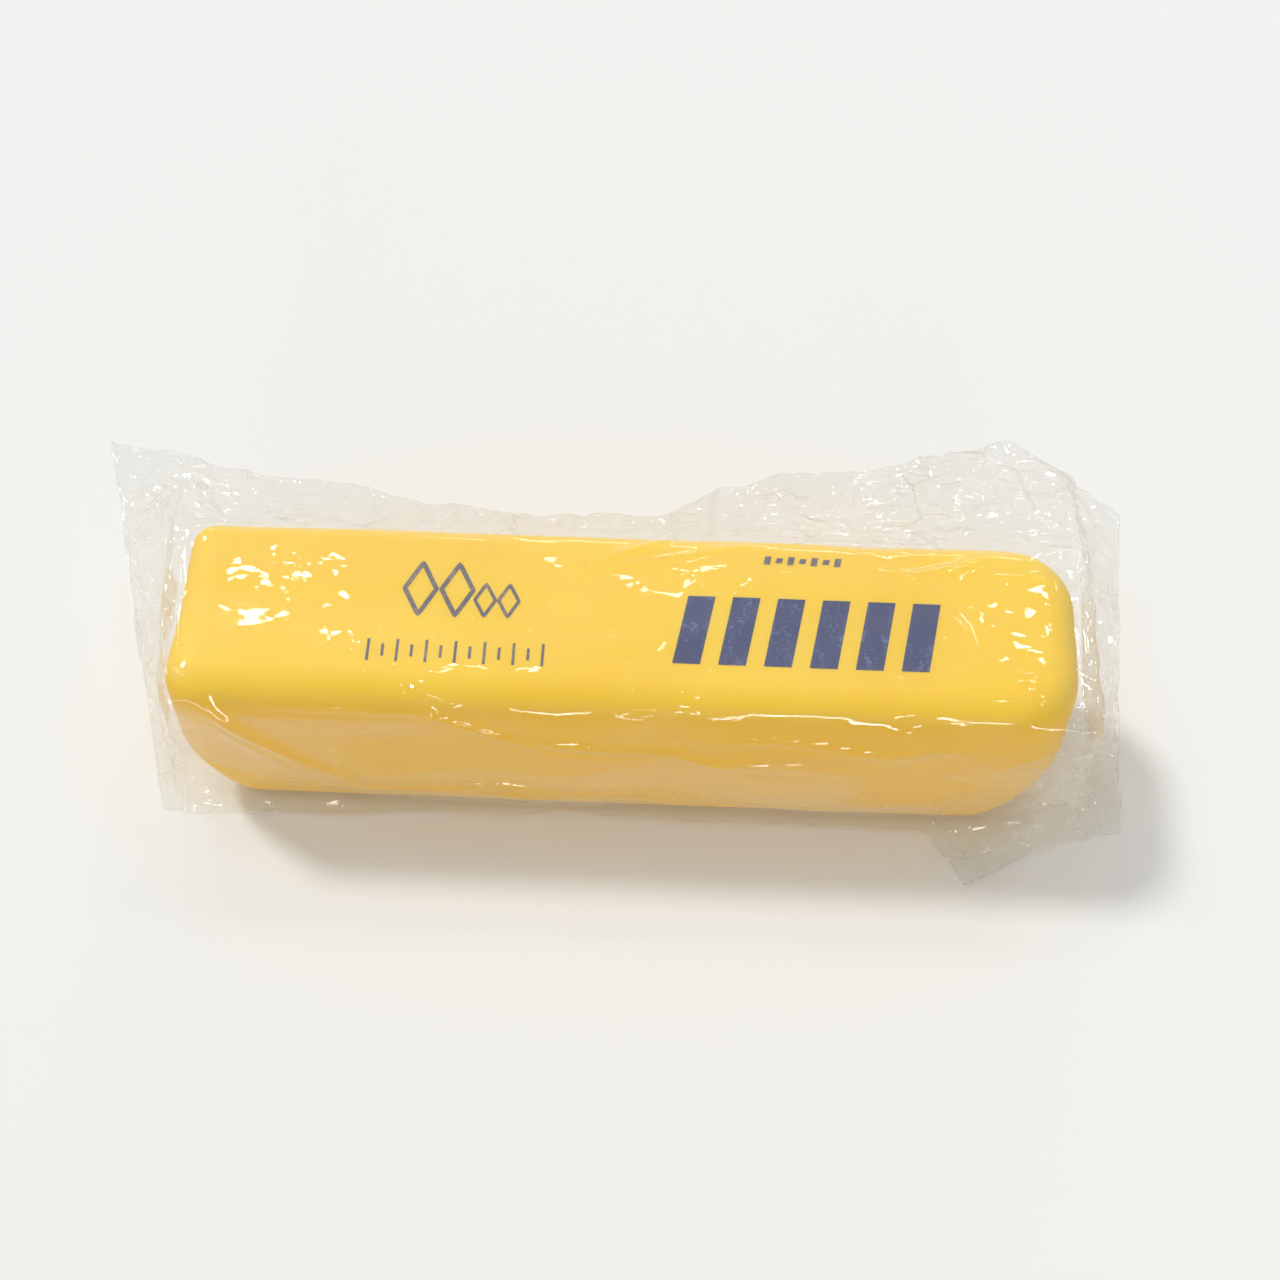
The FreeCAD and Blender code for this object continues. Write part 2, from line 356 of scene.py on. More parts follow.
def print_row(name, tree_and_keys, ink, start, sizes):
    """Make one printed row and lay it on the butter's skin from its start point."""
    tree, keys = tree_and_keys
    holder = mesh_object(name, [], [])
    maker = holder.modifiers.new("Row", "NODES")
    maker.node_group = tree
    for size, value in {**sizes, "Ink": ink}.items():
        maker[keys[size]] = value
    printed = bpy.data.meshes.new_from_object(
        holder.evaluated_get(bpy.context.evaluated_depsgraph_get()))
    holder.modifiers.clear()
    holder.data = printed
    for vertex in printed.vertices:
        x, y = vertex.co.x + start[0], vertex.co.y + start[1]
        ground = butter_skin.ray_cast(Vector((x, y, butter_high[2] + 0.01)), Vector((0, 0, -1)))[0]
        vertex.co = (x, y, ground.z + INK_LIFT)
    close_up(holder, 0.001 * MM)
    if sum(face.normal.z for face in printed.polygons) < 0:
        printed.flip_normals()
    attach(holder, "root")
    return holder


depsgraph = bpy.context.evaluated_depsgraph_get()
butter_skin = BVHTree.FromObject(butter, depsgraph)
navy = ink_material("navy ink", (0.011, 0.024, 0.130), (0.11, 0.16, 0.38), 0.29)
faint_navy = ink_material("thin navy ink", (0.085, 0.075, 0.115), (0.30, 0.22, 0.16), 0.25)
bars, lozenges = bar_row_tree(), lozenge_row_tree()

print_row("print_bars", bars, navy, (13.4 * MM, -3.2 * MM), {
    "Count": 6, "Pitch": 8.75 * MM, "Width": 5.3 * MM, "Height": 15.6 * MM,
    "Slant": 0.17, "Shorter": 1.0})
print_row("print_dashes", bars, faint_navy, (27.4 * MM, 13.6 * MM), {
    "Count": 7, "Pitch": 2.3 * MM, "Width": 1.25 * MM, "Height": 2.0 * MM,
    "Slant": 0.17, "Shorter": 0.6})
print_row("print_ticks", bars, faint_navy, (-49.0 * MM, -10.2 * MM), {
    "Count": 13, "Pitch": 2.8 * MM, "Width": 0.55 * MM, "Height": 5.0 * MM,
    "Slant": 0.0, "Shorter": 0.55})
print_row("print_lozenges", lozenges, faint_navy, (-40.2 * MM, 4.2 * MM), {
    "Count": 2, "Pitch": 7.2 * MM, "Width": 6.2 * MM, "Height": 12.2 * MM,
    "Line": 0.95 * MM})
print_row("print_small_lozenges", lozenges, faint_navy, (-27.4 * MM, 2.0 * MM), {
    "Count": 2, "Pitch": 4.6 * MM, "Width": 4.0 * MM, "Height": 7.6 * MM,
    "Line": 0.7 * MM})

# ---------------------------------------------------------------- the film bag
# A clear tube of film, pressed flat and sealed across both ends with the butter
# inside. It is snug at the waist and flares at its corners: a raised ear at the
# back left, a tall fold behind the right half, and a crushed flap in front.
ROWS, HALF_RING = 150, 60
RING = 2 * HALF_RING
FILM_GAP = 0.6 * MM
TURN = 3.0 * MM
UNDER = 0.15 * MM
SEAM_HALF = 0.12 * MM
film_low, film_high = [np.array(corner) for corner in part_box("film_bag")]
FACE = HALF_Y + FILM_GAP
TOP = butter_high[2] + FILM_GAP
BASE = UNDER
FOOT_INSET = 1.0 * MM
KNEE_OUT, KNEE_HEIGHT = 0.4 * MM, 7.0 * MM
HEM_LIFT, SEAM_LIFT = 0.5 * MM, 0.6 * MM
# a sealed end climbs to the ear through two bends: the low one's place as a share of
# the front reach, its height as a share of the high one's, and the high one's place
# as a share of the butter's half width
LOW_BEND, LOW_BEND_HEIGHT, HIGH_BEND = 0.35, 0.45, 0.4

# place along the bag; then in mm the reach in front of and behind the butter and the
# height of the back fold and of the middle; and the section's slant seen from above
STATIONS = [
    # place       front  back  fold  middle slant
    (-HALF_X - 12.6 * MM, 3.9, 40.5, 12.0, 7.0, -0.274),
    (-HALF_X - 1.5 * MM, 4.0, 33.5, 14.0, None, -0.10),
    (-HALF_X + 28.0 * MM, 3.0, 24.5, 20.0, None, 0.0),
    (-HALF_X + 45.0 * MM, 2.4, 15.5, 27.0, None, 0.0),
    (-22.0 * MM, 2.0, 6.5, 36.0, None, 0.0),
    (6.0 * MM, 2.0, 6.5, 36.0, None, 0.0),
    (18.0 * MM, 2.2, 21.0, 28.5, None, 0.0),
    (40.0 * MM, 2.4, 27.0, 27.0, None, 0.0),
    (HALF_X - 26.0 * MM, 2.6, 32.5, 26.0, None, 0.0),
    (HALF_X - 18.0 * MM, 14.2, 35.5, 26.0, None, 0.0),
    (HALF_X - 8.0 * MM, 8.0, 38.0, 26.0, None, 0.0),
    (HALF_X + 2.0 * MM, 3.5, 33.0, 24.0, None, 0.0),
    (HALF_X + 14.4 * MM, 0.6, 25.0, 18.0, 6.0, 0.03),
]


def body_section(front, back, fold):
    """Corners of an open section: along the floor, up to the back fold, and over."""
    lower = [(-front, BASE), (HALF_Y - FOOT_INSET, BASE), (back, fold)]
    upper = [(back, fold), (HALF_Y - TURN, TOP), (TURN - HALF_Y, TOP), (-FACE, TOP - TURN),
             (-FACE - KNEE_OUT, KNEE_HEIGHT), (-front, BASE + HEM_LIFT)]
    return lower, upper


def seam_section(front, back, fold, middle):
    """Corners of a sealed end: both layers on one line that climbs to the ear."""
    line = [(-front, BASE + SEAM_LIFT), (-LOW_BEND * front, LOW_BEND_HEIGHT * middle),
            (HIGH_BEND * HALF_Y, middle), (back, fold)]
    lower = [(y, z - SEAM_HALF) for y, z in line]
    upper = [(y, z + SEAM_HALF) for y, z in reversed(line)]
    return lower, upper


def station_ring(station):
    """One section of the bag as a ring of points: the lower layer, then the upper one."""
    place, front, back, fold, middle, slant = station
    front, back, fold = HALF_Y + front * MM, HALF_Y + back * MM, fold * MM
    if middle is None:
        lower, upper = body_section(front, back, fold)
    else:
        lower, upper = seam_section(front, back, fold, middle * MM)
    ring = np.concatenate([resample(lower, HALF_RING + 1)[:-1],
                           resample(upper, HALF_RING + 1)[:-1]])
    return np.column_stack([place + slant * ring[:, 0], ring])


def tube_points():
    """The bag as rings of points, evenly spaced from seam to seam."""
    rings = np.array([station_ring(station) for station in STATIONS])
    places = np.array([station[0] for station in STATIONS])
    wanted = np.linspace(places[0], places[-1], ROWS)
    flat = rings.reshape(len(rings), -1)
    spread = np.stack([np.interp(wanted, places, flat[:, column])
                       for column in range(flat.shape[1])], axis=1)
    return spread.reshape(ROWS, RING, 3)


def tube_faces(rows, half_ring):
    """Quads round the tube, and the zip of faces that closes each sealed end."""
    faces = []
    ring = 2 * half_ring
    for row in range(rows - 1):
        for step in range(ring):
            first, second = row * ring + step, row * ring + (step + 1) % ring
            faces.append((first, second, second + ring, first + ring))
    for row in (0, rows - 1):
        edge = row * ring
        faces.append((edge, edge + 1, edge + ring - 1))
        faces.append((edge + half_ring - 1, edge + half_ring, edge + half_ring + 1))
        faces += [(edge + step, edge + step + 1, edge + ring - step - 1, edge + ring - step)
                  for step in range(1, half_ring - 1)]
    return faces


def coordinates(mesh):
    flat = np.empty(len(mesh.vertices) * 3)
    mesh.vertices.foreach_get("co", flat)
    return flat.reshape(-1, 3)


def set_coordinates(mesh, points):
    mesh.vertices.foreach_set("co", np.asarray(points, dtype=float).ravel())
    mesh.update()


# how low and how far in from the butter's side the film counts as lying under it
UNDER_HEIGHT, UNDER_INSET = 1.0 * MM, 4 * MM


def held_weight(row, step, point):
    """1 where the film is held: its seams, the crest of the back fold, under the butter."""
    if row in (0, 1, ROWS - 2, ROWS - 1):
        return 1.0
    if step == HALF_RING:
        return 1.0
    if point[2] < UNDER_HEIGHT and abs(point[1]) < HALF_Y - UNDER_INSET and abs(point[0]) < HALF_X:
        return 1.0
    return 0.0


RUFFLE_MM = 0.9
TIGHT_RUFFLE = 0.45
LONG_WAVE, SHORT_WAVE = 9.0 * MM, 4.0 * MM
SHORT_WAVE_SHARE = 0.6
SHORT_WAVE_SHIFT = Vector((7, 3, 1))


def ruffle(points, normals):
    """Start the film a little uneven, more so where it is loose."""
    for index, (point, normal) in enumerate(zip(points, normals)):
        place = Vector(point)
        loose = 1.0 if point[1] > HALF_Y or abs(point[0]) > HALF_X else TIGHT_RUFFLE
        short = noise.noise(place / SHORT_WAVE + SHORT_WAVE_SHIFT)
        wave = noise.noise(place / LONG_WAVE) + SHORT_WAVE_SHARE * short
        points[index] = point + normal * (wave * RUFFLE_MM * MM * loose)
    return points


SIM_SCALE = 20.0
SIM_FRAMES = 24
SIM_GAP = 0.25 * MM


def settle(film, obstacles):
    """Let the film, cut a little too large, buckle against the butter and the floor."""
    scene = bpy.context.scene
    cloth = film.modifiers.new("Film", "CLOTH")
    film_settings = cloth.settings
    film_settings.quality = 7
    film_settings.mass = 0.15
    film_settings.tension_stiffness = film_settings.compression_stiffness = 40
    film_settings.shear_stiffness = 25
    film_settings.bending_stiffness = 0.6
    film_settings.tension_damping = film_settings.compression_damping = 12
    film_settings.shear_damping = 12
    film_settings.bending_damping = 1.0
    film_settings.air_damping = 2.0
    film_settings.vertex_group_mass = "held"
    film_settings.vertex_group_shrink = "loose"
    film_settings.shrink_min = -0.015
    film_settings.shrink_max = -0.06
    film_settings.effector_weights.gravity = 0.35
    cloth.collision_settings.use_collision = True
    cloth.collision_settings.distance_min = SIM_GAP * SIM_SCALE
    cloth.collision_settings.collision_quality = 3
    cloth.collision_settings.use_self_collision = False
    cloth.point_cache.frame_start = 1
    cloth.point_cache.frame_end = SIM_FRAMES
    for obstacle in obstacles:
        obstacle.modifiers.new("Solid", "COLLISION")
        obstacle.collision.thickness_outer = SIM_GAP * SIM_SCALE
        obstacle.collision.cloth_friction = 8
    for step in range(1, SIM_FRAMES + 1):
        scene.frame_set(step)
    settled = bpy.data.meshes.new_from_object(
        film.evaluated_get(bpy.context.evaluated_depsgraph_get()))
    points = coordinates(settled) / SIM_SCALE
    film.modifiers.clear()
    bpy.data.meshes.remove(settled)
    for obstacle in obstacles:
        bpy.data.objects.remove(obstacle)
    scene.frame_set(1)
    return points


def sim_copy(name, points, faces):
    """An obstacle for the simulation, at its scale."""
    return mesh_object(name, np.asarray(points) * SIM_SCALE, faces)


# the film is cut roomier from this far inside the butter's ends and this far inside
# its front face, and fully so the last distance further on
END_SLACK, FRONT_SLACK, SLACK_BLEND = 14 * MM, 2 * MM, 8 * MM
GROUND_X, GROUND_Y = 0.3, 0.2

start = tube_points().reshape(-1, 3)
pattern = mesh_object("film_pattern", start, tube_faces(ROWS, HALF_RING))
outward = np.array([vertex.normal[:] for vertex in pattern.data.vertices])
start = ruffle(start.copy(), outward)
start[:, 2] = np.maximum(start[:, 2], UNDER)
held = pattern.vertex_groups.new(name="held")
loose = pattern.vertex_groups.new(name="loose")
for index, point in enumerate(start):
    row, step = divmod(index, RING)
    held.add([index], held_weight(row, step, point), "REPLACE")
    off_butter = max(abs(point[0]) - HALF_X + END_SLACK, point[1] - HALF_Y,
                     -point[1] - HALF_Y + FRONT_SLACK)
    loose.add([index], float(np.clip(off_butter / SLACK_BLEND, 0, 1)), "REPLACE")

set_coordinates(pattern.data, start * SIM_SCALE)
inner = sim_copy("inner", coordinates(butter.data),
                 [tuple(face.vertices) for face in butter.data.polygons])
ground = sim_copy("ground", [(-GROUND_X, -GROUND_Y, 0), (GROUND_X, -GROUND_Y, 0),
                             (GROUND_X, GROUND_Y, 0), (-GROUND_X, GROUND_Y, 0)],
                  [(0, 1, 2, 3)])
settled = settle(pattern, [inner, ground])
bpy.data.objects.remove(pattern)


def halve_steps(points):
    """A point between each two neighbours, by a cubic through four: round the tube, then along it."""
    before, after = np.roll(points, 1, axis=1), np.roll(points, -1, axis=1)
    further = np.roll(points, -2, axis=1)
    between = (9 * (points + after) - before - further) / 16
    rings = np.stack([points, between], axis=2).reshape(len(points), -1, 3)
    padded = np.concatenate([2 * rings[:1] - rings[1:2], rings, 2 * rings[-1:] - rings[-2:-1]])
    between = (9 * (padded[1:-2] + padded[2:-1]) - padded[:-3] - padded[3:]) / 16
    woven = np.empty((2 * len(rings) - 1, *rings.shape[1:]))
    woven[::2] = rings
    woven[1::2] = between
    return woven


SHEET_MARGIN = 4
ABOVE_SHEET = 5


def creased_sheet(places, spacing, stretch, seed):
    """Height, -1 to 1, of a creased sheet at each place: flat facets that meet in sharp folds."""
    random = np.random.default_rng(seed)
    step = np.array([spacing * stretch, spacing])
    low, high = places.min(axis=0) - SHEET_MARGIN * step, places.max(axis=0) + SHEET_MARGIN * step
    columns, rows = [np.arange(low[axis], high[axis], step[axis]) for axis in (0, 1)]
    knots = np.stack(np.meshgrid(columns, rows, indexing="ij"), axis=-1).reshape(-1, 2)
    knots = knots + random.uniform(-0.5, 0.5, knots.shape) * step
    heights = random.uniform(-1, 1, len(knots))
    flat = [Vector(knot) for knot in knots]
    corners, _, facets, came_from, _, _ = delaunay_2d_cdt(flat, [], [], 0, 1e-6)
    raised = [(corner.x, corner.y, heights[came_from[index][0]])
              for index, corner in enumerate(corners)]
    sheet = BVHTree.FromPolygons(raised, facets)
    down = Vector((0, 0, -1))
    return np.array([sheet.ray_cast(Vector((x, y, ABOVE_SHEET)), down)[0].z for x, y in places])


def off_line(places, line):
    """Distance of each place from a bent line, and how far along it, 0 to 1, the nearest point is."""
    line = np.array(line, dtype=float)
    lengths = np.linalg.norm(np.diff(line, axis=0), axis=1)
    travelled = np.concatenate([[0.0], np.cumsum(lengths)])
    nearest, fraction = np.full(len(places), 1e9), np.zeros(len(places))
    for first, second, length, done in zip(line[:-1], line[1:], lengths, travelled):
        share = np.clip((places - first) @ (second - first) / length ** 2, 0, 1)
        distance = np.linalg.norm(places - first - share[:, None] * (second - first), axis=1)
        closer = distance < nearest
        nearest = np.where(closer, distance, nearest)
        fraction = np.where(closer, (done + share * length) / travelled[-1], fraction)
    return nearest, fraction


FADING_SHARE = 1 / 4


def pinch(places, line, width, height):
    """A sharp pinched fold along a line, which dies out over a share of it at both its ends."""
    distance, fraction = off_line(places, line)
    ends = np.clip(np.minimum(fraction, 1 - fraction) / FADING_SHARE, 0, 1)
    return height * ends * np.clip(1 - distance / width, 0, 1)


# where the film is crumpled most, in mm: x, y, z, radius, depth
CRUMPLES = [
    (-74, 17, 43, 6, 0.20), (-68, 9, 43, 4, 0.25), (-61, 3, 43, 4, 0.22), (-53, -8, 43, 3, 0.25),
    (-104, 50, 12, 8, 0.65), (-99, 33, 14, 6, 0.55), (-101, 10, 9, 6, 0.55), (-86, 24, 38, 4, 0.50),
    (0, 5, 43, 6, 0.14), (7, 9, 43, 4, 0.16), (30, 14, 43, 3, 0.16), (22, 40, 32, 6, 0.60),
    (51, 21, 42, 8, 0.40), (64, 47, 27, 7, 0.60), (58, 50, 27, 6, 0.60), (78, 45, 27, 8, 0.65),
    (70, 8, 43, 6, 0.18), (77, -1, 43, 6, 0.20), (87, 19, 40, 5, 0.60), (91, 5, 36, 5, 0.60),
    (80, -14, 43, 5, 0.30), (94, -4, 20, 6, 0.60), (97, 24, 20, 6, 0.60),
    (-38, -21, 40, 6, 0.75), (9, -21, 40, 8, 0.75), (58, -20, 42, 6, 0.70), (40, -22, 20, 5, 0.30),
    (-90, -22, 8, 8, 0.75), (-76, -24, 6, 6, 0.75), (-60, -24, 4, 5, 0.70), (-45, -24, 2, 4, 0.60),
    (84, -24, 10, 5, 0.70), (92, -20, 8, 7, 0.70), (76, -32, 3, 8, 0.60), (66, -32, 2, 5, 0.60),
]

# pinched folds seen from above, in mm: the line's x and y, then width and height
TOP_FOLDS = [
    ([(-115, 58.5), (-104, 52), (-90, 44)], 1.6, 1.3),
    ([(-110.5, 37), (-105, 34), (-97, 33), (-87, 26), (-82, 21)], 1.4, 0.9),
    ([(-100, 8), (-92, 14), (-84, 16)], 1.2, 0.5),
    ([(-67, 33), (-54, 22), (-46, 19)], 1.2, 0.5),
    ([(-80, 22), (-66, 20), (-50, 26)], 1.2, 0.6),
    ([(-12, 9), (5, 16.5), (14, 27), (18, 42)], 1.5, 0.8),
    ([(-10, 9.5), (3, 11.8), (18, 16), (35, 20), (45, 17.8)], 1.3, 0.5),
    ([(49, 12.6), (55.4, 10.7), (64, 12.9), (75, 19)], 1.5, 0.9),
    ([(78, 60), (87.5, 49.4), (96, 43), (101, 38)], 1.8, 1.2),
    ([(48, 46), (64, 50), (75, 47), (84, 44)], 1.6, 0.9),
    ([(60, 5), (65.5, -1), (66.5, -5), (68, -8), (76, -9.5)], 0.9, 0.35),
    ([(66, 16), (72, 12), (84, 12), (87, 4)], 1.2, 0.5),
    ([(24, 36), (44, 36), (62, 38), (80, 33)], 2.2, 0.8),
    ([(20, 26), (40, 29), (60, 28)], 1.6, 0.6),
    ([(14, 2), (24, 6), (34, 14)], 1.0, 0.4),
    ([(70, -14), (78, -12), (86, -8)], 1.0, 0.4),
    ([(84, -25), (74, -29), (66, -34)], 1.6, 0.9),
]

# pinched folds on the front, in mm: the line's x and z, then width and height
FRONT_FOLDS = [
    ([(-86, 43), (-70, 38.5), (-38, 37.5), (-32, 35), (-13, 28.5), (-4, 26)], 1.5, 0.9),
    ([(-30, 33), (-8, 31), (16, 27), (38.8, 27), (55, 25)], 1.6, 0.8),
    ([(-66, 11), (-48, 14), (-24, 18), (-5, 16), (16, 14.5), (36, 11), (60, 7)], 1.6, 0.9),
    ([(-84, 41), (-73, 31), (-54, 18)], 1.8, 1.1),
    ([(-80, 34), (-70, 24), (-62, 18)], 1.4, 0.6),
    ([(76, 8), (84, 16.4), (89, 25.6), (93, 30)], 1.6, 1.2),
    ([(10, 33), (30, 34), (54, 31), (72, 34)], 1.5, 0.7),
    ([(62, 33), (74, 27), (86, 36)], 1.5, 0.7),
]


EASING_PASSES = 9
EASING = 0.85


def eased(points, amount):
    """The film's buckles smoothed by an amount for each point, as where it is pulled tight."""
    for _ in range(EASING_PASSES):
        padded = np.concatenate([points[:1], points, points[-1:]])
        around = padded[:-2] + padded[2:] + np.roll(points, 1, axis=1) + np.roll(points, -1, axis=1)
        around = around / 4
        points = points + amount[:, :, None] * (around - points)
    return points


# spacing of the facets in mm, their stretch along the bag and the seed of the draw
LARGE_FACETS = (11.0, 2.0, 3)
SMALL_FACETS = (4.0, 1.8, 8)
SMALL_FACETS_TURN = np.array([[0.85, 0.52], [-0.52, 0.85]])
# height of the facets in mm where the film is tight, and what is added where it is loose
LARGE_TIGHT, LARGE_LOOSE = 0.10, 1.7
SMALL_TIGHT, SMALL_LOOSE = 0.02, 0.28
# the film is loose from the first distance off the butter, in mm, and fully so the
# second distance further on
LOOSE_FROM, LOOSE_OVER = 1, 10
LOOSE_GLINT, FOLD_GLINT = 0.40, 0.15
# how soon a fold is at its full height on film that turns towards its side
FACING = 3
# steps over which the creases die out at a seam and at a hem, and what a seam keeps of them
SEAM_FADE, HEM_FADE, SEAM_KEEPS = 8, 4, 0.12


def crumple(points, normals, rest, fine_half):
    """Crease the settled film: facets where it is loose, and the folds of the tables."""
    rows, ring = points.shape[:2]
    flat = points.reshape(-1, 3) / MM
    girth = np.linalg.norm(np.diff(rest, axis=1, append=rest[:, :1]), axis=2).sum(axis=1) / MM
    across = np.arange(ring)[None, :] / ring * girth[:, None]
    places = np.stack([rest[:, :, 0] / MM, across], axis=-1).reshape(-1, 2)
    x, y, z = rest.reshape(-1, 3).T / MM
    off_butter = np.maximum(np.abs(x) - HALF_X / MM, np.abs(y) - HALF_Y / MM)
    slack = np.clip((off_butter - LOOSE_FROM) / LOOSE_OVER, 0, 1)
    hot = np.zeros(len(flat))
    for cx, cy, cz, radius, depth in CRUMPLES:
        hot += depth * np.exp(-((flat - (cx, cy, cz)) ** 2).sum(axis=1) / radius ** 2)
    large = creased_sheet(places, *LARGE_FACETS) * (LARGE_TIGHT + LARGE_LOOSE * slack)
    small = creased_sheet(places @ SMALL_FACETS_TURN, *SMALL_FACETS)
    lift = large + small * (SMALL_TIGHT + SMALL_LOOSE * slack + hot)
    glints = hot + LOOSE_GLINT * slack
    step = np.tile(np.arange(ring), rows)
    upper = step > fine_half
    facing_up = upper * np.clip(normals[:, 2] * FACING, 0, 1)
    facing_front = upper * np.clip(-normals[:, 1] * FACING, 0, 1)
    for lines, facing, sides in ((TOP_FOLDS, facing_up, [0, 1]),
                                 (FRONT_FOLDS, facing_front, [0, 2])):
        for line, width, height in lines:
            fold = facing * pinch(flat[:, sides], line, width, height)
            lift += fold
            glints += FOLD_GLINT * fold
    row = np.repeat(np.arange(rows), ring)
    from_seam = np.minimum(row, rows - 1 - row)
    from_hem = np.minimum(step, ring - step)
    lift *= np.clip(from_seam / SEAM_FADE, SEAM_KEEPS, 1) * np.clip(from_hem / HEM_FADE, 0, 1)
    return (flat + normals * lift[:, None]) * MM, np.clip(glints, 0, 1), slack


# the front is milky between two creases, given by their x and z in mm
UPPER_CREASE = [(-86, 38), (-70, 36), (-38, 35.5), (-13, 27), (16, 27), (40, 31), (60, 33), (80, 30),
                (90, 34)]
LOWER_CREASE = [(-86, 20), (-66, 11), (-48, 14), (-24, 18), (-5, 16), (16, 14), (36, 11), (60, 7),
                (90, 8)]
TOP_MILK, FRONT_MILK = 0.055, 0.18
TOP_FROM = 38
# a clear wedge runs down the front from this x and z, in mm: its slope, half width and end
WEDGE_X, WEDGE_Z, WEDGE_SLOPE, WEDGE_HALF, WEDGE_END = -84, 41, 0.77, 4.0, -52
WEDGE_CLEARS = 0.9


def milkiness(points, normals):
    """How much the film whitens what is under it: by double layers and by air under it."""
    x, y, z = points.T / MM
    level = np.clip(normals[:, 2] * 6 - 5, 0, 1)
    top = level * (z > TOP_FROM)
    upper = np.interp(x, *np.transpose(UPPER_CREASE))
    lower = np.interp(x, *np.transpose(LOWER_CREASE))
    front = (normals[:, 1] < -0.3) & (y < 0)
    between = np.clip(upper - z, 0, 1) * np.clip(z - lower, 0, 1)
    shade = TOP_MILK * top + front * FRONT_MILK * between
    wedge_line = WEDGE_Z - (x - WEDGE_X) * WEDGE_SLOPE
    wedge = np.clip(1 - np.abs(z - wedge_line) / WEDGE_HALF, 0, 1) * (x < WEDGE_END)
    return shade * (1 - WEDGE_CLEARS * wedge * front)


def keep_clear(points, gap):
    """Push film that dips into the butter or the floor back out."""
    near = 3 * MM
    for index, point in enumerate(points):
        touched, normal, _, _ = butter_skin.find_nearest(Vector(point), near)
        if touched is None:
            continue
        beyond = (Vector(point) - touched).dot(normal)
        if beyond < gap:
            points[index] = touched + normal * gap
    points[:, 2] = np.maximum(points[:, 2], UNDER)
    return points


# the film is loose from this far inside the butter's ends and this far off its sides,
# and turns tight over the second distance of each pair
TIGHT_END, TIGHT_END_OVER = 4 * MM, 6 * MM
TIGHT_SIDE, TIGHT_SIDE_OVER = 3 * MM, 3 * MM

settled, start = settled.reshape(ROWS, RING, 3), start.reshape(ROWS, RING, 3)
tight = np.clip((HALF_X - TIGHT_END - np.abs(start[:, :, 0])) / TIGHT_END_OVER, 0, 1)
tight = tight * np.clip((HALF_Y + TIGHT_SIDE - np.abs(start[:, :, 1])) / TIGHT_SIDE_OVER, 0, 1)
settled[2:-2] = eased(settled, EASING * tight)[2:-2]
fine, rest = halve_steps(settled), halve_steps(start)
film = mesh_object("film_bag_skin", fine.reshape(-1, 3), tube_faces(2 * ROWS - 1, RING))
outward = np.array([vertex.normal[:] for vertex in film.data.vertices])
creased, glints, slack = crumple(fine, outward, rest, RING)
creased = keep_clear(creased, UNDER)
set_coordinates(film.data, creased)
film.data.attributes.new("crumpled", "FLOAT", "POINT").data.foreach_set("value", glints)
film.data.attributes.new("slack", "FLOAT", "POINT").data.foreach_set("value", slack)
milk = milkiness(creased, outward)
film.data.attributes.new("milk", "FLOAT", "POINT").data.foreach_set("value", milk)


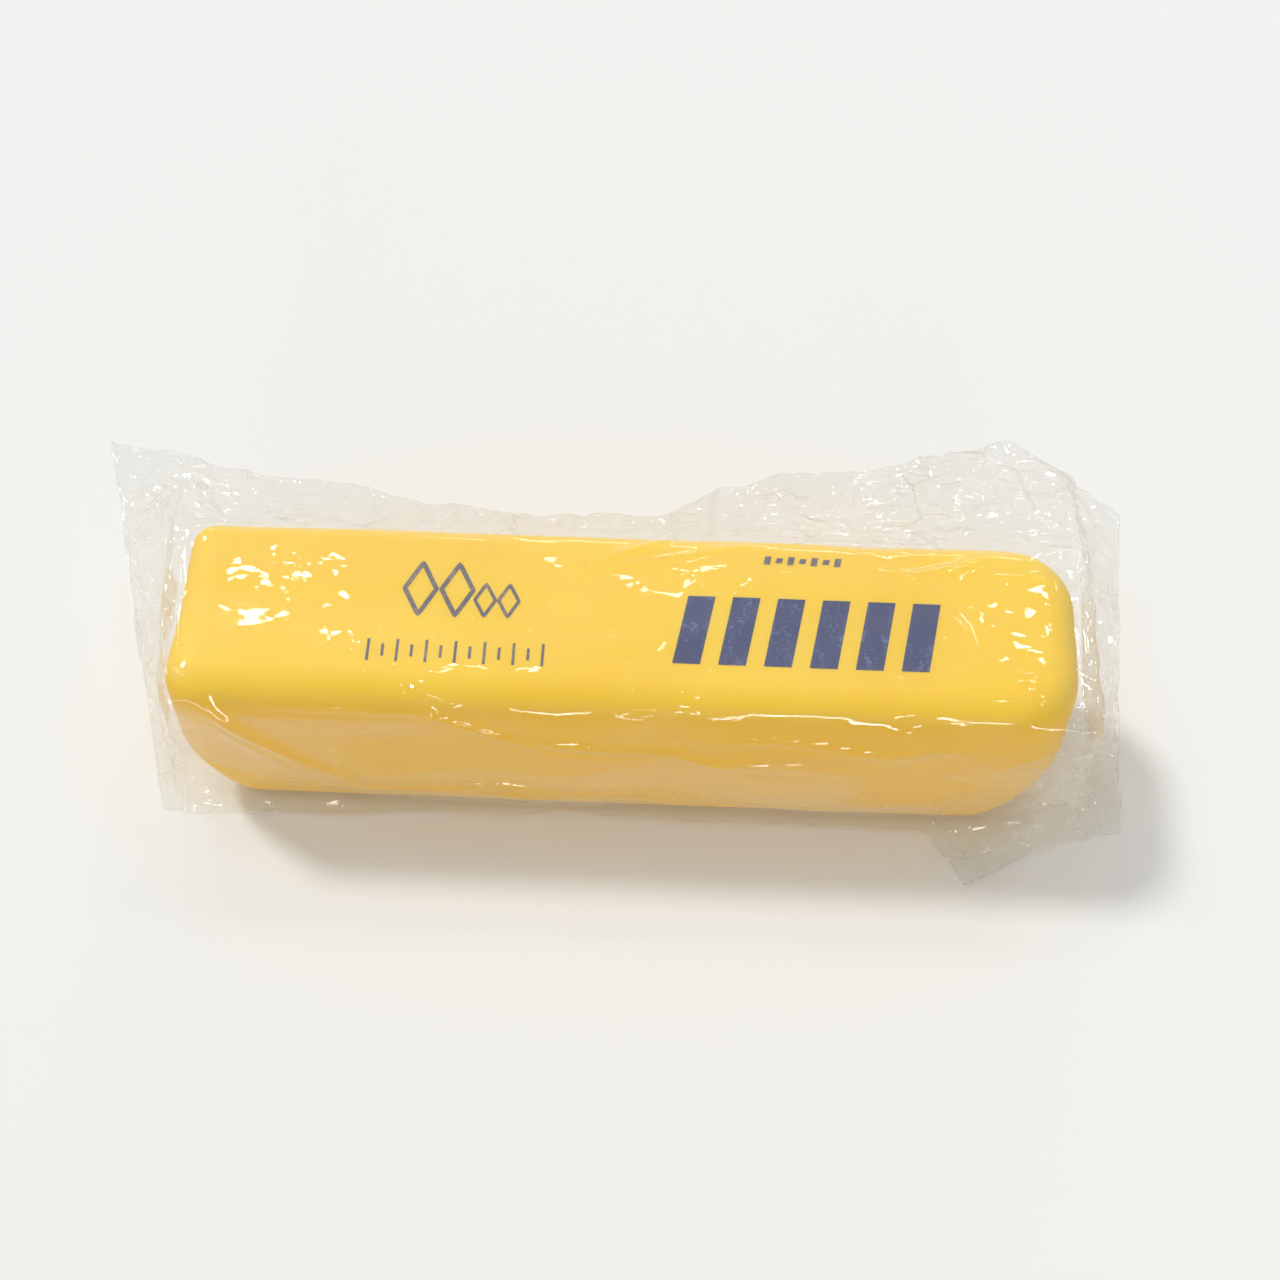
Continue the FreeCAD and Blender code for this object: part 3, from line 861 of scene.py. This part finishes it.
def film_material():
    """Clear film: faint haze, mirror glints off its facets, milkier where it is seen edge-on."""
    material, add = new_material("clear film")
    place = add("ShaderNodeTexCoord").outputs["Object"]
    crumpled = add("ShaderNodeAttribute", {"attribute_name": "crumpled"}).outputs["Fac"]
    drawn = add("ShaderNodeMapping", Vector=place, Rotation=(0, 0, math.radians(-32)),
                Scale=(0.42, 1.0, 1.0))
    bend = add("ShaderNodeTexNoise", Vector=place, Scale=90.0, Detail=2.0)
    wander = add("ShaderNodeVectorMath", {"operation": "SCALE"}, _0=bend.outputs["Color"],
                 Scale=0.003)
    bent = add("ShaderNodeVectorMath", {"operation": "ADD"}, _0=drawn.outputs[0],
               _1=wander.outputs[0])
    facets = []
    for scale, depth in ((300.0, 1.0), (820.0, 0.6)):
        cell = add("ShaderNodeTexVoronoi", Vector=bent.outputs[0], Scale=scale, Randomness=1.0)
        away = add("ShaderNodeVectorMath", {"operation": "SUBTRACT"},
                   _0=bent.outputs[0], _1=cell.outputs["Position"])
        tilt = add("ShaderNodeVectorMath", {"operation": "SUBTRACT"},
                   _0=cell.outputs["Color"], _1=(0.5, 0.5, 0.5))
        plane = add("ShaderNodeVectorMath", {"operation": "DOT_PRODUCT"},
                    _0=away.outputs[0], _1=tilt.outputs[0])
        facets.append(add("ShaderNodeMath", {"operation": "MULTIPLY"},
                          _0=plane.outputs["Value"], _1=depth).outputs[0])
    crumple = add("ShaderNodeMath", {"operation": "ADD"}, _0=facets[0], _1=facets[1])
    depth = add("ShaderNodeMapRange", Value=crumpled, To_Min=0.05, To_Max=1.0)
    relief = add("ShaderNodeBump", Strength=depth.outputs[0], Distance=1.0,
                 Height=crumple.outputs[0])
    gloss = add("ShaderNodeBsdfGlossy", Color=(1, 1, 1, 1), Roughness=0.035,
                Normal=relief.outputs["Normal"])
    clear = add("ShaderNodeBsdfTransparent", Color=(0.962, 0.962, 0.952, 1))
    haze = add("ShaderNodeBsdfDiffuse", Color=(0.80, 0.79, 0.76, 1))
    back = add("ShaderNodeBsdfTranslucent", Color=(0.80, 0.79, 0.76, 1))
    milk = add("ShaderNodeMixShader", _0=0.5, _1=haze.outputs[0], _2=back.outputs[0])
    edge_on = add("ShaderNodeLayerWeight", Blend=0.35)
    veil = add("ShaderNodeMapRange", Value=edge_on.outputs["Facing"], To_Min=0.0, To_Max=0.42)
    long_fold = add("ShaderNodeMapping", Vector=place, Scale=(0.22, 1.0, 1.0))
    layers = add("ShaderNodeTexNoise", Vector=long_fold.outputs[0], Scale=75.0, Detail=3.0,
                 Roughness=0.55, Distortion=0.6)
    patchy = add("ShaderNodeMapRange", {"interpolation_type": "SMOOTHSTEP"},
                 Value=layers.outputs["Fac"], From_Min=0.40, From_Max=0.62, To_Min=0.55, To_Max=1.5)
    milky = add("ShaderNodeMath", {"operation": "MULTIPLY"}, _1=patchy.outputs["Result"],
                _0=add("ShaderNodeAttribute", {"attribute_name": "milk"}).outputs["Fac"])
    creases = add("ShaderNodeTexVoronoi", {"feature": "DISTANCE_TO_EDGE"}, Vector=bent.outputs[0],
                  Scale=105.0, Randomness=1.0)
    thin = add("ShaderNodeMapRange", Value=creases.outputs["Distance"], From_Min=0.006,
               From_Max=0.022, To_Min=0.7, To_Max=0.0)
    here = add("ShaderNodeTexNoise", Vector=place, Scale=60.0, Detail=1.0)
    some = add("ShaderNodeMapRange", {"interpolation_type": "SMOOTHSTEP"},
               Value=here.outputs["Fac"], From_Min=0.50, From_Max=0.62, To_Min=0.0, To_Max=1.0)
    loose = add("ShaderNodeAttribute", {"attribute_name": "slack"}).outputs["Fac"]
    seen = add("ShaderNodeMath", {"operation": "MULTIPLY"}, _0=some.outputs["Result"], _1=loose)
    line = add("ShaderNodeMath", {"operation": "MULTIPLY"}, _0=thin.outputs["Result"],
               _1=seen.outputs[0])
    veiled = add("ShaderNodeMath", {"operation": "ADD"},
                 _0=veil.outputs["Result"], _1=milky.outputs[0])
    cloudy = add("ShaderNodeMath", {"operation": "ADD", "use_clamp": True},
                 _0=veiled.outputs[0], _1=line.outputs[0])
    body = add("ShaderNodeMixShader", _0=cloudy.outputs[0], _1=clear.outputs[0],
               _2=milk.outputs[0])
    tilted = add("ShaderNodeLayerWeight", Blend=0.5, Normal=relief.outputs["Normal"])
    steep = add("ShaderNodeMath", {"operation": "POWER"}, _0=tilted.outputs["Facing"], _1=5.0)
    mirror = add("ShaderNodeMapRange", Value=steep.outputs[0], To_Min=0.032, To_Max=0.9)
    skin = add("ShaderNodeMixShader", _0=mirror.outputs["Result"], _1=body.outputs[0],
               _2=gloss.outputs[0])
    path = add("ShaderNodeLightPath")
    lets_by = add("ShaderNodeBsdfTransparent", Color=(0.97, 0.97, 0.96, 1))
    lit = add("ShaderNodeMixShader", _0=path.outputs["Is Shadow Ray"], _1=skin.outputs[0],
              _2=lets_by.outputs[0])
    add("ShaderNodeOutputMaterial", Surface=lit.outputs[0])
    return material


film.data.materials.append(film_material())
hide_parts("film_bag")
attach(film, "root")

# ---------------------------------------------------------------- the studio
# A pale sweep of paper under a soft sun from the upper left and behind, with an even
# surround that fills the shadows. Small lamps above, behind and in front give the
# film its glints.
FLOOR_TONE = (0.865, 0.868, 0.850, 1)


def paper_material():
    material, add = new_material("paper sweep")
    place = add("ShaderNodeTexCoord").outputs["Object"]
    tooth = add("ShaderNodeTexNoise", Vector=place, Scale=300.0, Detail=3.0)
    relief = add("ShaderNodeBump", Strength=0.03, Distance=0.1 * MM, Height=tooth.outputs["Fac"])
    paper = add("ShaderNodeBsdfPrincipled", Base_Color=FLOOR_TONE, Roughness=0.9,
                Normal=relief.outputs["Normal"])
    paper.inputs["Specular IOR Level"].default_value = 0.1
    add("ShaderNodeOutputMaterial", Surface=paper.outputs["BSDF"])
    return material


FLOOR_REACH = 3.0
floor = mesh_object("floor", [(-FLOOR_REACH, -FLOOR_REACH, 0), (FLOOR_REACH, -FLOOR_REACH, 0),
                              (FLOOR_REACH, FLOOR_REACH, 0), (-FLOOR_REACH, FLOOR_REACH, 0)],
                    [(0, 1, 2, 3)])
floor.data.materials.append(paper_material())


def aim(thing, place, target):
    """Put a lamp or the camera in its place, facing its target."""
    thing.location = place
    thing.rotation_mode = "QUATERNION"
    thing.rotation_quaternion = (Vector(target) - Vector(place)).to_track_quat("-Z", "Y")


def soft_lamp(name, place, length, depth, power, spread=180):
    """A flat lamp that faces the pack; a spread under 180 degrees spares the floor beside it."""
    lamp = bpy.data.lights.new(name, "AREA")
    lamp.shape = "RECTANGLE"
    lamp.size = length
    lamp.size_y = depth
    lamp.energy = power
    lamp.spread = math.radians(spread)
    thing = bpy.data.objects.new(name, lamp)
    bpy.context.scene.collection.objects.link(thing)
    aim(thing, place, (0, 0, 0.02))


key = bpy.data.objects.new("key lamp", bpy.data.lights.new("key lamp", "SUN"))
key.data.energy = 1.40
key.data.angle = math.radians(9.5)
bpy.context.scene.collection.objects.link(key)
aim(key, (-0.58, 0.42, 0.92), (0, 0, 0.02))
soft_lamp("front lamp", (0.05, -0.88, 0.20), 0.40, 0.05, 0.20, 70)
soft_lamp("low back lamp", (0.10, 1.10, 0.38), 0.55, 0.05, 0.15, 70)
for place in ((-0.30, 0.68, 0.97), (0.33, 0.65, 0.97)):
    soft_lamp("back lamp", place, 0.11, 0.05, 0.5)
for place in ((-0.36, -0.08, 0.97), (0.22, -0.14, 0.97), (0.45, 0.25, 0.97), (-0.15, 0.30, 0.97),
              (-0.02, 0.76, 0.97)):
    soft_lamp("small top lamp", place, 0.05, 0.05, 0.16)

world = bpy.data.worlds.new("surround")
world.use_nodes = True
world.node_tree.nodes.clear()
add = node_adder(world.node_tree)
path = add("ShaderNodeLightPath")
straight = add("ShaderNodeMath", {"operation": "MAXIMUM"},
               _0=path.outputs["Is Camera Ray"], _1=path.outputs["Is Transmission Ray"])
seen = add("ShaderNodeMath", {"operation": "MAXIMUM"},
           _0=straight.outputs[0], _1=path.outputs["Is Glossy Ray"])
around = add("ShaderNodeBackground", Color=(1.0, 1.0, 1.0, 1), Strength=0.50)
backdrop = add("ShaderNodeBackground", Color=FLOOR_TONE, Strength=1.0)
both = add("ShaderNodeMixShader", _0=seen.outputs[0], _1=around.outputs[0], _2=backdrop.outputs[0])
add("ShaderNodeOutputWorld", Surface=both.outputs[0])
bpy.context.scene.world = world

CAMERA_TURN = math.radians(2.4)
CAMERA_RISE = math.radians(57.1)
CAMERA_AWAY = 0.435
CAMERA_TARGET = Vector((0.0025, 0.0079, 0.021))
camera = bpy.data.objects.new("camera", bpy.data.cameras.new("camera"))
camera.data.lens = 59.9
camera.data.sensor_width = 36.0
bpy.context.scene.collection.objects.link(camera)
backwards = Vector((math.sin(CAMERA_TURN) * math.cos(CAMERA_RISE),
                    -math.cos(CAMERA_TURN) * math.cos(CAMERA_RISE), math.sin(CAMERA_RISE)))
aim(camera, CAMERA_TARGET + backwards * CAMERA_AWAY, CAMERA_TARGET)
bpy.context.scene.camera = camera
bpy.context.scene.view_settings.view_transform = "Standard"
bpy.context.scene.cycles.transparent_max_bounces = 14
